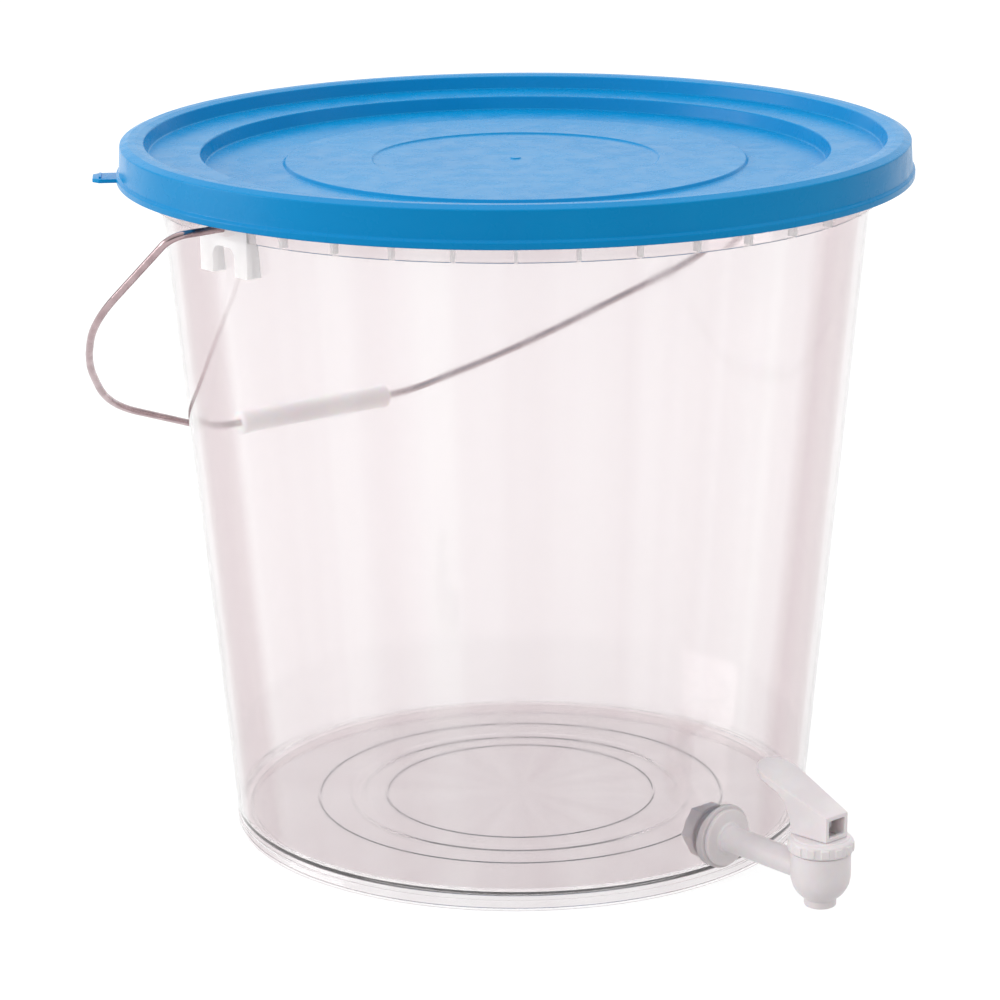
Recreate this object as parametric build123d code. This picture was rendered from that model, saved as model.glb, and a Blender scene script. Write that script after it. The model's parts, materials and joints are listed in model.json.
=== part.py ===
"""Plastic fermenting bucket with a push-on lid, a wire bail with a turning grip, and a press tap.

Units are millimetres. The origin is the centre of the base on the surface it stands on, +Z is up,
the tap points along -Y and the two bail ears lie on the X axis.
"""
from build123d import *
import math
import os

# ---- driving dimensions: bucket -------------------------------------------------------------
BASE_R = 133.33          # outer radius of the wall's cone carried down to the ground
TAPER = 0.0918           # growth of the wall's radius per millimetre of height
WALL = 1.8               # thickness of the wall
FLOOR_TOP = 8.0          # height of the inside of the floor
FLOOR_T = 2.2            # thickness of the floor
FOOT_R = 134.0           # outer radius of the foot ring
FOOT_H = 4.2             # height of the foot ring's band
FOOT_T = 6.0             # width of the foot ring
SHOULDER_Z = 304.6       # where the wall starts to flare out to the rim
RIM_IN_R = 169.6         # inside radius of the rim
RIM_TOP_Z = 321.2        # top of the rim
RIM_T = 1.8              # thickness of the rim
RIM_BEAD_R = 175.8       # outer radius of the bead round the rim
COLLAR_R = 165.3         # outer radius of the collar's lower edge
COLLAR_Z = 296.9         # height of the collar's lower edge
COLLAR_T = 1.6           # thickness of the collar
FLOOR_RINGS = [(62.4, 64.0, 0.8), (73.5, 81.0, 0.6), (94.4, 96.0, 0.8)]   # inner r, outer r, height
RIBS_PER_SIDE = 18       # collar ribs between one ear and the other
RIB_FIRST_DEG = 12.1     # angle from an ear to its nearest rib
RIB_T = 1.4
FLARE_H = 8.0            # height of the flare from the wall out to the rim
FLOOR_CORNER = 2.6       # width of the sloped corner between the wall and the floor

# ---- ears and bail --------------------------------------------------------------------------
PIVOT_Z = 301.5          # height of the bail's axis
EAR_OUT_X = 165.4        # outer face of the ear, level with the collar
EAR_PLATE_T = 2.8        # thickness of the plate that the wire passes through
EAR_HALF = 16.4          # half the ear's width
EAR_LEG_IN = 7.6         # inner side of each leg, from the bail's axis
EAR_LEG_LOW_Z = 281.5    # lower end of the legs
EAR_PLATE_LOW_Z = 293.6  # lower edge of the plate between the legs
EAR_ARCH_R = 4.5         # rounding where the plate meets a leg
EAR_FOOT_R = 1.2         # rounding of the legs' lower corners
WIRE_R = 1.75
WIRE_RUN = 0.08          # radial running clearance of the wire in its holes
WIRE_END_X = 161.9       # how near to the wall the wire's end comes
BAIL_DROP_DEG = 40.8     # the resting bail hangs this far below the horizontal
BAIL_CORNER_R = 8.0      # bend where the wire leaves the ear
GRIP_CORNER_RUN = 12.5   # the bends beside the grip take up no more than this of the straight run
BAIL_ROUTE = [           # corners of the bail in its own plane: along the axis, away from the axis
    (-192.4, 0.0), (-198.5, 67.4), (-181.4, 108.0), (-146.5, 156.1), (-62.0, 206.0),
    (66.0, 212.1), (124.7, 185.4), (208.3, 118.4), (208.4, 76.4), (192.4, 0.0)]
GRIP_R = 5.8
GRIP_L = 96.6
GRIP_RING = 5.0          # length of the raised ring at each end
GRIP_SHIFT = 1.6         # the grip sits this far to one side of the middle

# ---- lid ------------------------------------------------------------------------------------
LID_T = 1.6
LIP_R = 180.0            # outer radius of the flared lip
LIP_Z = 305.5            # lower edge of the lip
LIP_TOP_Z = 309.0        # where the flared lip meets the skirt
SKIRT_R = 178.1          # outer radius of the skirt at its top
SKIRT_TOP_Z = 321.3
CREST_R = 173.0
CREST_Z = 323.3          # top of the rolled rim
RIM_STEP_R = 167.4       # inner edge of the rolled rim
RIM_STEP_Z = 322.5
LEDGE_Z = 316.6          # first step down
LEDGE_R = 142.2          # inner edge of the first step
PANEL_Z = 310.4          # main panel
STEP_RUN = 1.8           # how far each step's wall leans inwards
PLATEAU_R = 104.0        # raised disc on the panel
PLATEAU_H = 1.5
DISC_R = 64.4            # shallow recess in the middle of the raised disc
DISC_H = 0.7
NUB_R = 2.2              # mould nub at the centre
NUB_H = 0.5
TAB_DEG = 144.0          # direction of the pull tab
TAB_OUT = 10.5           # how far it stands out past the lip
TAB_W = 17.0
TAB_T = 1.8
TAB_CLIP = 3.0           # how much is cut off each corner

# ---- tap, in its own frame: Z up the spindle, +Y along the pipe towards the bucket ------------
TAP_Z = 23.1             # height of the pipe's axis above the ground
TAP_REACH = 62.0         # from the outside of the wall to the spindle's axis
PIPE_R = 5.96
PIPE_BORE_R = 4.2
FLANGE_R = 13.1
FLANGE_T = 2.2
GASKET_OUT_R = 14.5
GASKET_OUT_T = 3.2
GASKET_IN_R = 11.6
GASKET_IN_T = 3.6
SHANK_R = 7.5            # outside of the thread
SHANK_CORE_R = 6.8       # root of the thread
THREAD_PITCH = 2.0
SHANK_END = 17.2         # how far the shank reaches inwards from the outside of the wall
WALL_HOLE_R = 7.9
NUT_R = 12.6
NUT_L = 7.6
NUT_COLLAR = 1.6         # thickness of its round collar
BOWL_R = 13.2
BOWL_IN_R = 11.0
BOWL_TOP = 10.2          # top of the bowl's full-width wall
NECK_R = 12.0            # neck that the bonnet screws over
NECK_TOP = 15.0
NOZZLE_R = 7.1
NOZZLE_BORE_R = 5.4
NOZZLE_LOW = -14.7
BONNET_R = 14.0
BONNET_LOW = 10.5
BONNET_SHOULDER = 16.6
BONNET_TOP = 17.4
BONNET_PLATE_LOW = 15.5
BONNET_CROWN_R = 12.2    # outer radius of the raised round top
BONNET_PADS = 14
PAD_W = 3.4              # width of each raised pad round the skirt
GUIDE_R = 3.9            # outside of the collar that guides the stem
GUIDE_H = 1.5
STEM_R = 2.5
STEM_RUN = 0.08          # running clearance round the stem
STEM_LOW = -3.4          # lower end of the stem, inside the seat cup
STEM_FOOT_R = 3.4        # button on the stem's end that pulls the cup up
PIN_R = 1.5
PIN_RUN = 0.06
PIN_Z = 23.4             # height of the cross pin
PIN_HALF = 6.4
PIN_SOCKET = 6.7         # depth of the pin's blind holes in the lever's cheeks, from the middle
HEAD_R = 4.0             # rounded head of the stem
HEAD_HALF_X = 2.3
CUP_TOP = 5.0
CUP_SIDE = [(7.5, -6.0), (6.6, -2.0), (4.8, 2.6), (4.2, 4.9)]   # the bell's outside, radius and height
SPRING_R = 4.6
SPRING_WIRE_R = 0.45
SPRING_TURNS = 5
LEVER_FRONT_Y = -9.4
LEVER_HEEL_Y = 9.8
LEVER_FRONT_H = 11.6     # height of the lever's front end above the bonnet
LEVER_GAP = 0.1          # the lever's foot stands this far off the bonnet
LEVER_TIP_Y = 35.6
LEVER_TIP_H = 26.0
LEVER_FRONT_HALF = 6.65
LEVER_TIP_R = 9.9
LEVER_TIP_T = 2.9        # thickness of the paddle at its tip
LEVER_KNEE_Y = 20.6      # where the top's slope eases
LEVER_KNEE_RISE = 0.70   # share of the whole rise reached there
LEVER_UNDERSIDE = [(25.2, 19.9), (17.4, 16.6), (13.6, 13.0), (11.4, 8.0)]   # y and height, tip to heel
LEVER_SKIN = 1.9         # thickness of the hollow lever's sides
LEVER_TOP_SKIN = 2.4
LEVER_FRONT_SKIN = 2.2
LEVER_HOLLOW_END = 27.0  # the paddle is solid beyond here
WINDOW_Z = 5.9           # middle of the opening in the lever's front
WINDOW_H = 7.6

ON_BASE = (Align.CENTER, Align.CENTER, Align.MIN)   # a cylinder that stands on its own base


def wall_r(z):
    """Outer radius of the tapered wall at a height."""
    return BASE_R + TAPER * z


def ring_solid(points):
    """Turn a closed outline of (radius, height) points into a solid round Z."""
    outline = Polyline(*points, close=True)
    face = make_face(Plane.XZ * outline)
    return revolve(face, Axis.Z)


def cylinder_between(radius, start, end):
    """A round bar from one point to another."""
    start = Vector(*start)
    run = Vector(*end) - start
    plane = Plane(origin=start, z_dir=run)
    return extrude(plane * Circle(radius), run.length)


def wall_cone(offset, low, high):
    """The solid of everything inside the wall's outer surface, moved in by an offset."""
    return ring_solid([(0, low), (wall_r(low) - offset, low), (wall_r(high) - offset, high), (0, high)])


# ---- bucket -----------------------------------------------------------------------------------
def bucket_shell():
    """Wall, floor, foot ring, rim and collar as one revolved shell, then ribs, ears and holes."""
    floor_low = FLOOR_TOP - FLOOR_T
    inner_low = wall_r(FLOOR_TOP) - WALL
    rim_out = RIM_IN_R + RIM_T
    flare_z = SHOULDER_Z + FLARE_H
    shell = ring_solid([
        (0, floor_low), (FOOT_R - FOOT_T - 1.0, floor_low), (FOOT_R - FOOT_T, 0.0),
        (FOOT_R - 0.8, 0.0), (FOOT_R, 0.8), (FOOT_R, FOOT_H), (wall_r(FOOT_H) - 0.35, FOOT_H + 0.5),
        (wall_r(FOOT_H + 1.2), FOOT_H + 1.2),
        (wall_r(SHOULDER_Z), SHOULDER_Z),
        (COLLAR_R - COLLAR_T + 0.5, SHOULDER_Z),
        (COLLAR_R - COLLAR_T, COLLAR_Z), (COLLAR_R, COLLAR_Z),
        (COLLAR_R + 0.9, SHOULDER_Z + 0.6), (rim_out, flare_z - 1.0),
        (rim_out, RIM_TOP_Z - 5.0), (RIM_BEAD_R, RIM_TOP_Z - 3.2), (RIM_BEAD_R, RIM_TOP_Z - 2.0),
        (rim_out + 0.6, RIM_TOP_Z), (RIM_IN_R + 0.5, RIM_TOP_Z), (RIM_IN_R, RIM_TOP_Z - 0.6),
        (RIM_IN_R, flare_z), (wall_r(SHOULDER_Z) - WALL, SHOULDER_Z),
        (wall_r(FLOOR_TOP + 2.5) - WALL, FLOOR_TOP + 2.5), (inner_low - 0.8, FLOOR_TOP + 0.7),
        (inner_low - FLOOR_CORNER, FLOOR_TOP), (0, FLOOR_TOP)])
    for inner, outer, height in FLOOR_RINGS:
        shell += ring_solid([(inner, FLOOR_TOP - 0.5), (outer, FLOOR_TOP - 0.5),
                             (outer - 0.3, FLOOR_TOP + height), (inner + 0.3, FLOOR_TOP + height)])
    shell += collar_ribs()
    for side in (-1, 1):
        shell += ear(side)
    for side in (-1, 1):
        shell -= cylinder_between(WIRE_R + WIRE_RUN, (side * (WIRE_END_X - 0.5), 0, PIVOT_Z),
                                  (side * (EAR_OUT_X + 4), 0, PIVOT_Z))
    wall_y = -wall_r(TAP_Z)
    shell -= cylinder_between(WALL_HOLE_R, (0, wall_y - 4, TAP_Z), (0, wall_y + 6, TAP_Z))
    return shell


def collar_ribs():
    """Short upright ribs that tie the collar to the wall, spaced evenly between the ears."""
    step = (180.0 - 2 * RIB_FIRST_DEG) / (RIBS_PER_SIDE - 1)
    rib_in = wall_r(COLLAR_Z) - 0.6
    rib_out = COLLAR_R - 0.5
    low = COLLAR_Z + 0.6
    height = SHOULDER_Z + 0.5 - low
    rib = Pos((rib_in + rib_out) / 2, 0, low + height / 2) * Box(rib_out - rib_in, RIB_T, height)
    ribs = []
    for half in (0.0, 180.0):
        for number in range(RIBS_PER_SIDE):
            ribs.append(Rot(0, 0, half + RIB_FIRST_DEG + number * step) * rib)
    return ribs


def corners_at(face, height):
    """The corners of a flat outline that lie at one height."""
    return face.vertices().filter_by(lambda corner: abs(corner.Y - height) < 0.01)


def ear(side):
    """An arched plate, level with the collar, whose two legs run back to the wall."""
    top = SHOULDER_Z + 0.6
    outline = Polyline(
        (-EAR_HALF, EAR_LEG_LOW_Z), (-EAR_LEG_IN, EAR_LEG_LOW_Z), (-EAR_LEG_IN, EAR_PLATE_LOW_Z),
        (EAR_LEG_IN, EAR_PLATE_LOW_Z), (EAR_LEG_IN, EAR_LEG_LOW_Z), (EAR_HALF, EAR_LEG_LOW_Z),
        (EAR_HALF, top), (-EAR_HALF, top), close=True)
    arch = make_face(outline)
    arch = fillet(corners_at(arch, EAR_PLATE_LOW_Z), EAR_ARCH_R)
    arch = fillet(corners_at(arch, EAR_LEG_LOW_Z), EAR_FOOT_R)
    plane = Plane(origin=(EAR_OUT_X, 0, 0), x_dir=(0, 1, 0), z_dir=(1, 0, 0))
    plate = extrude(plane * arch, -EAR_PLATE_T)
    depth = EAR_OUT_X - wall_r(EAR_LEG_LOW_Z) + 4.0
    legs = extrude(plane * arch, -depth)
    legs -= Pos(EAR_OUT_X - depth / 2, 0, top) * Box(depth * 2, 2 * EAR_LEG_IN, 60)
    legs -= wall_cone(0.5, EAR_LEG_LOW_Z - 20, SHOULDER_Z + 20)
    whole = plate + legs
    return whole if side > 0 else Rot(0, 0, 180) * whole


# ---- bail -------------------------------------------------------------------------------------
def in_bail_plane(shape):
    """Tip a shape drawn flat (X along the ears, Y away from them) to the resting bail's plane."""
    return Pos(0, 0, PIVOT_Z) * Rot(-BAIL_DROP_DEG, 0, 0) * shape


def bail_wire():
    """One round wire: straight runs joined by tangent arcs as large as the runs allow."""
    corners = [(-WIRE_END_X, 0.0)] + BAIL_ROUTE + [(WIRE_END_X, 0.0)]
    runs = [math.dist(a, b) for a, b in zip(corners, corners[1:])]
    radii = []
    for number in range(1, len(corners) - 1):
        before = Vector(*corners[number]) - Vector(*corners[number - 1])
        after = Vector(*corners[number + 1]) - Vector(*corners[number])
        half_turn = math.radians(before.get_angle(after)) / 2
        tangent = 0.45 * min(runs[number - 1], runs[number])
        if number in (5, 6):
            tangent = GRIP_CORNER_RUN
        radii.append(tangent / math.tan(half_turn))
    radii[0] = BAIL_CORNER_R
    radii[-1] = BAIL_CORNER_R
    path = FilletPolyline(*corners, radius=radii)
    section = Plane(origin=(-WIRE_END_X, 0, 0), z_dir=(-1, 0, 0)) * Circle(WIRE_R)
    wire = sweep(section, path=path)
    print("bail bend radii", [round(radius, 1) for radius in radii])
    print("bail volume", round(wire.volume, 1), "section x length",
          round(math.pi * WIRE_R ** 2 * path.length, 1))
    return in_bail_plane(wire)


def bail_grip():
    """A plain tube with a raised ring at each end, turning on the straight middle of the wire."""
    low, high = BAIL_ROUTE[4], BAIL_ROUTE[5]
    slope = math.degrees(math.atan2(high[1] - low[1], high[0] - low[0]))
    half = GRIP_L / 2
    bore = WIRE_R + WIRE_RUN
    waist_r = GRIP_R - 0.4
    tube = ring_solid([
        (bore, -half), (GRIP_R - 0.8, -half), (GRIP_R, -half + 0.8), (GRIP_R, -half + GRIP_RING),
        (waist_r, -half + GRIP_RING + 1.0), (waist_r, half - GRIP_RING - 1.0), (GRIP_R, half - GRIP_RING),
        (GRIP_R, half - 0.8), (GRIP_R - 0.8, half), (bore, half)])
    middle_y = low[1] + (GRIP_SHIFT - low[0]) / (high[0] - low[0]) * (high[1] - low[1])
    flat = Pos(GRIP_SHIFT, middle_y, 0) * Rot(0, 0, slope) * Rot(0, 90, 0) * tube
    print("grip axis point", in_bail_plane(Vertex(GRIP_SHIFT, middle_y, 0)).center(), "slope", slope)
    return in_bail_plane(flat)


# ---- lid --------------------------------------------------------------------------------------
def lid():
    """A stepped disc with a rolled rim, a skirt with a flared lip, and one pull tab."""
    plateau_z = PANEL_Z + PLATEAU_H
    disc_z = plateau_z - DISC_H
    upper = [
        (0, disc_z), (DISC_R, disc_z), (DISC_R + 0.5, plateau_z), (PLATEAU_R, plateau_z),
        (PLATEAU_R + 0.8, PANEL_Z), (LEDGE_R - STEP_RUN - 0.6, PANEL_Z),
        (LEDGE_R - STEP_RUN, PANEL_Z + 0.6), (LEDGE_R - 0.5, LEDGE_Z - 0.5), (LEDGE_R + 0.4, LEDGE_Z),
        (RIM_STEP_R - STEP_RUN - 0.6, LEDGE_Z), (RIM_STEP_R - STEP_RUN, LEDGE_Z + 0.6),
        (RIM_STEP_R - 0.4, RIM_STEP_Z - 0.7), (RIM_STEP_R + 0.6, RIM_STEP_Z),
        (CREST_R - 2.0, CREST_Z - 0.1), (CREST_R + 1.5, CREST_Z - 0.05),
        (SKIRT_R - 1.5, SKIRT_TOP_Z + 0.9), (SKIRT_R - 0.4, SKIRT_TOP_Z), (SKIRT_R, SKIRT_TOP_Z - 1.0),
        (SKIRT_R + 0.7, LIP_TOP_Z + 0.6), (LIP_R - 0.4, LIP_TOP_Z - 0.4), (LIP_R, LIP_TOP_Z - 1.2),
        (LIP_R, LIP_Z)]
    lower = [
        (LIP_R - LID_T, LIP_Z), (LIP_R - LID_T - 0.1, LIP_TOP_Z - 1.5),
        (SKIRT_R + 0.5 - LID_T, LIP_TOP_Z + 0.3), (SKIRT_R - LID_T, SKIRT_TOP_Z - 1.6),
        (CREST_R + 1.0, CREST_Z - LID_T), (CREST_R - 2.4, CREST_Z - LID_T),
        (RIM_STEP_R + LID_T - 0.4, RIM_STEP_Z - LID_T - 0.4),
        (RIM_STEP_R - STEP_RUN + LID_T + 0.5, LEDGE_Z),
        (RIM_STEP_R - STEP_RUN + LID_T - 0.2, LEDGE_Z - LID_T), (LEDGE_R + LID_T, LEDGE_Z - LID_T),
        (LEDGE_R - STEP_RUN + LID_T, PANEL_Z - LID_T), (PLATEAU_R - 0.2, PANEL_Z - LID_T),
        (PLATEAU_R - 1.2, plateau_z - LID_T), (DISC_R + 1.2, plateau_z - LID_T),
        (DISC_R + 0.4, disc_z - LID_T), (0, disc_z - LID_T)]
    body = ring_solid(upper + lower)
    body += Pos(0, 0, disc_z - 0.3) * Cylinder(NUB_R, 0.3 + NUB_H, align=ON_BASE)
    body += Rot(0, 0, TAB_DEG) * pull_tab()
    return body


def pull_tab():
    """A flat tongue at the lip with clipped corners, drawn along +X."""
    root = LIP_R - 1.4
    tip = LIP_R + TAB_OUT
    half = TAB_W / 2
    clip = TAB_CLIP
    outline = Polyline((root, -half), (tip - clip, -half), (tip, -half + clip), (tip, half - clip),
                       (tip - clip, half), (root, half), close=True)
    tongue = extrude(Pos(0, 0, LIP_Z + 0.2) * make_face(outline), TAB_T)
    grip_bead = Pos(tip - 3.4, 0, LIP_Z + 0.2 + TAB_T) * Box(1.2, TAB_W - 6, 0.8)
    return tongue + grip_bead


# ---- tap --------------------------------------------------------------------------------------
def at_tap(shape):
    """Move a shape from the tap's own frame to its place on the bucket."""
    return Pos(0, -(wall_r(TAP_Z) + TAP_REACH), TAP_Z) * shape


def along_pipe(radius, start, end):
    """A round bar on the pipe's axis between two distances towards the bucket."""
    return cylinder_between(radius, (0, start, 0), (0, end, 0))


def tap_body():
    """Inlet shank with thread, flange, pipe, bowl, neck and nozzle in one moulding."""
    flange_back = TAP_REACH - GASKET_OUT_T
    shank_end = TAP_REACH + SHANK_END
    outer = ring_solid([(0, NOZZLE_LOW), (NOZZLE_R - 0.5, NOZZLE_LOW), (NOZZLE_R, NOZZLE_LOW + 0.5),
                        (NOZZLE_R, -4.0), (BOWL_R, 0.0), (BOWL_R, BOWL_TOP), (NECK_R, BOWL_TOP),
                        (NECK_R, NECK_TOP), (0, NECK_TOP)])
    outer += Sphere(BOWL_R)
    outer += along_pipe(PIPE_R, 4, flange_back)
    outer += along_pipe(PIPE_R + 1.2, flange_back - FLANGE_T - 1.2, flange_back)
    outer += chamfer(along_pipe(FLANGE_R, flange_back - FLANGE_T, flange_back)
                     .edges().filter_by(GeomType.CIRCLE).sort_by(Axis.Y)[0], 0.5)
    outer += along_pipe(SHANK_CORE_R, flange_back, shank_end)
    crest = ring_solid([
        (SHANK_CORE_R - 0.5, -0.75), (SHANK_CORE_R, -0.75), (SHANK_R, -0.25), (SHANK_R, 0.25),
        (SHANK_CORE_R, 0.75), (SHANK_CORE_R - 0.5, 0.75)])
    turns = int((SHANK_END - 3.0) / THREAD_PITCH)
    for number in range(turns):
        outer += Pos(0, shank_end - 1.6 - number * THREAD_PITCH, 0) * Rot(90, 0, 0) * crest
    inner = ring_solid([(0, 0), (BOWL_IN_R, 0), (BOWL_IN_R, NECK_TOP + 1), (0, NECK_TOP + 1)])
    inner += Sphere(BOWL_IN_R)
    inner += Pos(0, 0, NOZZLE_LOW - 1) * Cylinder(NOZZLE_BORE_R, 10, align=ON_BASE)
    inner += along_pipe(PIPE_BORE_R, 5, shank_end + 1)
    return at_tap(outer - inner)


def tap_gaskets():
    """The washers each side of the wall, cut to the wall's own curve."""
    outside = along_pipe(GASKET_OUT_R, TAP_REACH - GASKET_OUT_T, TAP_REACH + 4)
    outside -= along_pipe(WALL_HOLE_R, 0, TAP_REACH + 20)
    outside = at_tap(outside) - wall_cone(0, -30, 80)
    inside = along_pipe(GASKET_IN_R, TAP_REACH - 4, TAP_REACH + WALL + GASKET_IN_T)
    inside -= along_pipe(WALL_HOLE_R, 0, TAP_REACH + 20)
    inside = at_tap(inside) & wall_cone(WALL, -30, 80)
    return outside, inside


def tap_nut():
    """Six-sided lock nut with a round collar against the inner washer."""
    start = TAP_REACH + WALL + GASKET_IN_T
    collar = along_pipe(NUT_R, start, start + NUT_COLLAR)
    plane = Plane(origin=(0, start + NUT_COLLAR, 0), x_dir=(1, 0, 0), z_dir=(0, 1, 0))
    hexagon = extrude(plane * RegularPolygon(NUT_R, 6), NUT_L - NUT_COLLAR)
    return at_tap(collar + hexagon - along_pipe(SHANK_R + 0.05, 0, TAP_REACH + 40))


def tap_bonnet():
    """Screw cap of the bowl: ribbed skirt, raised round top and a guide for the stem."""
    guide_r = STEM_R + STEM_RUN
    cap = ring_solid([
        (NECK_R + 0.15, BONNET_LOW), (BONNET_R - 0.5, BONNET_LOW), (BONNET_R, BONNET_LOW + 0.5),
        (BONNET_R, BONNET_SHOULDER - 0.9), (BONNET_R - 0.9, BONNET_SHOULDER),
        (BONNET_CROWN_R + 0.4, BONNET_SHOULDER), (BONNET_CROWN_R, BONNET_TOP), (guide_r, BONNET_TOP),
        (guide_r, BONNET_PLATE_LOW - GUIDE_H), (GUIDE_R, BONNET_PLATE_LOW - GUIDE_H),
        (GUIDE_R, BONNET_PLATE_LOW), (NECK_R + 0.15, BONNET_PLATE_LOW)])
    pad_h = BONNET_SHOULDER - BONNET_LOW - 2.4
    pad = Pos(BONNET_R - 0.2, 0, BONNET_LOW + 0.9 + pad_h / 2) * Box(1.4, PAD_W, pad_h)
    for number in range(BONNET_PADS):
        cap += Rot(0, 0, number * 360.0 / BONNET_PADS) * pad
    return at_tap(cap)


def tap_stem():
    """Pull rod with a rounded, flattened head for the cross pin."""
    rod = Pos(0, 0, STEM_LOW) * Cylinder(STEM_R, PIN_Z - STEM_LOW, align=ON_BASE)
    head = Pos(0, 0, PIN_Z) * Rot(0, 90, 0) * Cylinder(HEAD_R, 2 * HEAD_HALF_X)
    neck = Pos(0, 0, PIN_Z - 2) * Box(2 * HEAD_HALF_X, 5.0, 4.0)
    foot = Pos(0, 0, STEM_LOW) * Cylinder(STEM_FOOT_R, 1.0, align=ON_BASE)
    stem = rod + head + neck + foot
    stem &= Pos(0, 0, 10) * Box(2 * HEAD_HALF_X, 20, 60) + Cylinder(STEM_R + 1, 2 * BONNET_TOP)
    hole = cylinder_between(PIN_R, (-10, 0, PIN_Z), (10, 0, PIN_Z))
    return at_tap(stem - hole)


def tap_seat_cup():
    """Soft bell that closes the outlet, with a socket for the stem's lower end."""
    seat_r = BOWL_IN_R - 0.36
    angles = [math.radians(degrees) for degrees in (60.0, 53.0, 46.0)]
    seat = [(seat_r * math.cos(angle), -seat_r * math.sin(angle)) for angle in angles]
    socket_r = STEM_R + STEM_RUN
    button_r = STEM_FOOT_R + 0.4
    cup = ring_solid([(0, seat[0][1])] + seat + CUP_SIDE + [
        (CUP_SIDE[-1][0], CUP_TOP), (socket_r, CUP_TOP), (socket_r, STEM_LOW + 1.4),
        (button_r, STEM_LOW + 1.4), (button_r, STEM_LOW - 0.4), (0, STEM_LOW - 0.4)])
    return at_tap(cup)


def tap_spring():
    """Compression spring between the cup and the bonnet, as a helix with a round wire."""
    low = CUP_TOP + SPRING_WIRE_R + 0.1
    high = BONNET_PLATE_LOW - SPRING_WIRE_R - 0.1
    path = Helix(pitch=(high - low) / SPRING_TURNS, height=high - low, radius=SPRING_R)
    start = path @ 0
    section = Plane(origin=start, z_dir=path % 0) * Circle(SPRING_WIRE_R)
    return at_tap(Pos(0, 0, low) * sweep(section, path=path))


def lever_pin():
    """Cross pin on which the lever turns."""
    return at_tap(cylinder_between(PIN_R, (-PIN_HALF, 0, PIN_Z), (PIN_HALF, 0, PIN_Z)))


def lever_blank(inset, top_drop, tip_back):
    """The lever's outer form, or its hollow when drawn smaller: a side outline cut to a plan outline."""
    rise = LEVER_TIP_H - LEVER_FRONT_H
    side = make_face(Polyline(
        (LEVER_FRONT_Y, LEVER_GAP), (LEVER_FRONT_Y, LEVER_FRONT_H - top_drop),
        (LEVER_KNEE_Y, LEVER_FRONT_H + rise * LEVER_KNEE_RISE - top_drop),
        (LEVER_TIP_Y, LEVER_TIP_H - top_drop), (LEVER_TIP_Y, LEVER_TIP_H - LEVER_TIP_T),
        *LEVER_UNDERSIDE, (LEVER_HEEL_Y, LEVER_GAP), close=True))
    form = extrude(Plane.YZ * side, 2 * LEVER_TIP_R, both=True)
    front_y = LEVER_FRONT_Y + (LEVER_FRONT_SKIN if inset else 0)
    tip_y = LEVER_TIP_Y - LEVER_TIP_R
    half = LEVER_FRONT_HALF - inset
    tip_r = LEVER_TIP_R - inset - tip_back
    outline = Polyline((-half, front_y), (half, front_y), (tip_r - 0.15, tip_y - 3), (tip_r, tip_y),
                       (-tip_r, tip_y), (-tip_r + 0.15, tip_y - 3), close=True)
    plan = make_face(outline) + Pos(0, tip_y) * Circle(tip_r)
    return form & extrude(plan, 2 * LEVER_TIP_H)


def tap_lever():
    """Press lever: a hollow block over the stem that runs back into a long rounded paddle."""
    body = lever_blank(0, 0, 0)
    hollow = lever_blank(LEVER_SKIN, LEVER_TOP_SKIN, 0.6)
    hollow -= Pos(0, LEVER_HOLLOW_END + 50, 0) * Box(60, 100, 100)
    window = Pos(0, LEVER_FRONT_Y, WINDOW_Z) * Box(2 * (LEVER_FRONT_HALF - LEVER_SKIN), 6, WINDOW_H)
    body = body - hollow - window
    body = Pos(0, 0, BONNET_TOP) * body
    body -= cylinder_between(PIN_R + PIN_RUN, (-PIN_SOCKET, 0, PIN_Z), (PIN_SOCKET, 0, PIN_Z))
    return at_tap(body)


def main():
    """Write one STEP file for each piece."""
    gasket_outer, gasket_inner = tap_gaskets()
    pieces = {
        "bucket_shell": bucket_shell(),
        "lid": lid(),
        "bail_wire": bail_wire(),
        "bail_grip": bail_grip(),
        "tap_body": tap_body(),
        "tap_gasket_outer": gasket_outer,
        "tap_gasket_inner": gasket_inner,
        "tap_nut": tap_nut(),
        "tap_bonnet": tap_bonnet(),
        "tap_stem": tap_stem(),
        "tap_seat_cup": tap_seat_cup(),
        "tap_spring": tap_spring(),
        "tap_lever": tap_lever(),
        "lever_pin": lever_pin()}
    os.makedirs("parts", exist_ok=True)
    for name, shape in pieces.items():
        export_step(shape, f"parts/{name}.step")
        print(name, "solids", len(shape.solids()), "volume", round(shape.volume, 1))


if __name__ == "__main__":
    main()
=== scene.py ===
"""Looks of the plastic fermenting bucket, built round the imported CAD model. Metres, Z up."""

import json
import math

import bmesh
import bpy
from mathutils import Matrix, Vector


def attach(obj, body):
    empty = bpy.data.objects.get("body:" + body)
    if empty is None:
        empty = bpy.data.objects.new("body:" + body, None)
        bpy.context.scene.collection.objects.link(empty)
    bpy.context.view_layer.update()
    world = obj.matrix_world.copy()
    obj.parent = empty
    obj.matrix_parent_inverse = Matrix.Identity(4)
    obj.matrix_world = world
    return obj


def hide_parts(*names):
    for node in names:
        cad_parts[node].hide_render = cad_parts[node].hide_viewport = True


MM = 0.001

# ---- camera -----------------------------------------------------------------------------------
LENS_MM = 128.32
SENSOR_MM = 36.0
CAMERA_AZIMUTH = math.radians(-41.17)
CAMERA_DISTANCE = 1.5955
CAMERA_HEIGHT = 0.5957
CAMERA_PITCH = math.radians(15.589)
CAMERA_ROLL = math.radians(-0.4376)
CAMERA_SHIFT_X = -0.01824

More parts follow.
